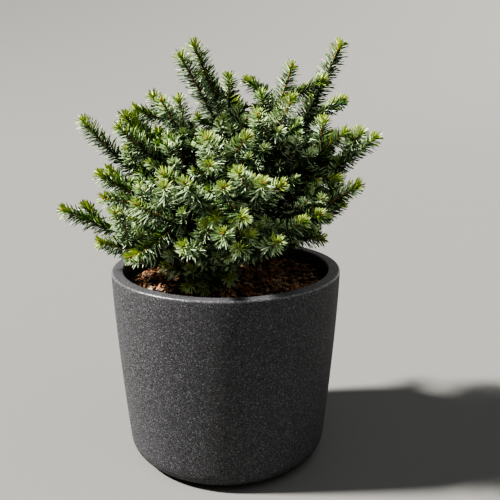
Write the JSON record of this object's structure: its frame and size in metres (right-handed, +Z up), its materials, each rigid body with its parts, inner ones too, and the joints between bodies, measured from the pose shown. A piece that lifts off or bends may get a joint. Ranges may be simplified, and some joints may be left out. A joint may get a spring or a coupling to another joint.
{
  "type": "potted dwarf serbian spruce",
  "caption": "Dwarf conifer with short stiff needles on upswept boughs round a short trunk, growing in a round-footed tapered planter.",
  "frame": {"origin": "centre of the planter's flat underside, on the surface it stands on", "axes": "+Z up along the planter's axis, +X to the right and +Y to the back of the plant's best side"},
  "size_m": [0.4782, 0.3993, 0.6501],
  "materials": {
    "planter": "matt granular composite with a smooth rim",
    "soil": "loose bark mulch over potting mix",
    "trunk_bark": "scaly bark",
    "bough_bark": "smooth young bark",
    "needles": "waxy needles, silvery beneath"
  },
  "bodies": {
    "root": {"back_crown": "needles", "back_crown_bough": "bough_bark", "back_left": "needles", "back_left_bough": "bough_bark", "back_left_low": "needles", "back_left_low_bough": "bough_bark", "back_low": "needles", "back_low_bough": "bough_bark", "back_mid": "needles", "back_mid_bough": "bough_bark", "back_right": "needles", "back_right_bough": "bough_bark", "foot_front": "needles", "foot_left": "needles", "front_crown": "needles", "front_crown_bough": "bough_bark", "front_low": "needles", "front_low_left": "needles", "front_low_right": "needles", "front_mid": "needles", "front_mid_bough": "bough_bark", "front_mid_left": "needles", "front_mid_left_bough": "bough_bark", "front_mid_right": "needles", "front_mid_right_bough": "bough_bark", "front_upright": "needles", "front_upright_bough": "bough_bark", "leader": "needles", "leader_far_right": "needles", "leader_far_right_bough": "bough_bark", "leader_mid": "needles", "leader_mid_bough": "bough_bark", "leader_right": "needles", "leader_right_bough": "bough_bark", "left_crown": "needles", "left_crown_bough": "bough_bark", "left_front": "needles", "left_front_bough": "bough_bark", "left_long": "needles", "left_long_bough": "bough_bark", "left_low": "needles", "left_low_bough": "bough_bark", "left_mid": "needles", "left_mid_bough": "bough_bark", "left_shoulder": "needles", "left_shoulder_bough": "bough_bark", "left_upper": "needles", "left_upper_bough": "bough_bark", "planter": "planter", "right_long": "needles", "right_long_bough": "bough_bark", "right_low": "needles", "right_low_bough": "bough_bark", "right_mid": "needles", "right_mid_bough": "bough_bark", "right_upper": "needles", "right_upper_bough": "bough_bark", "soil": "soil", "trunk": "trunk_bark"}
  },
  "joints": []
}
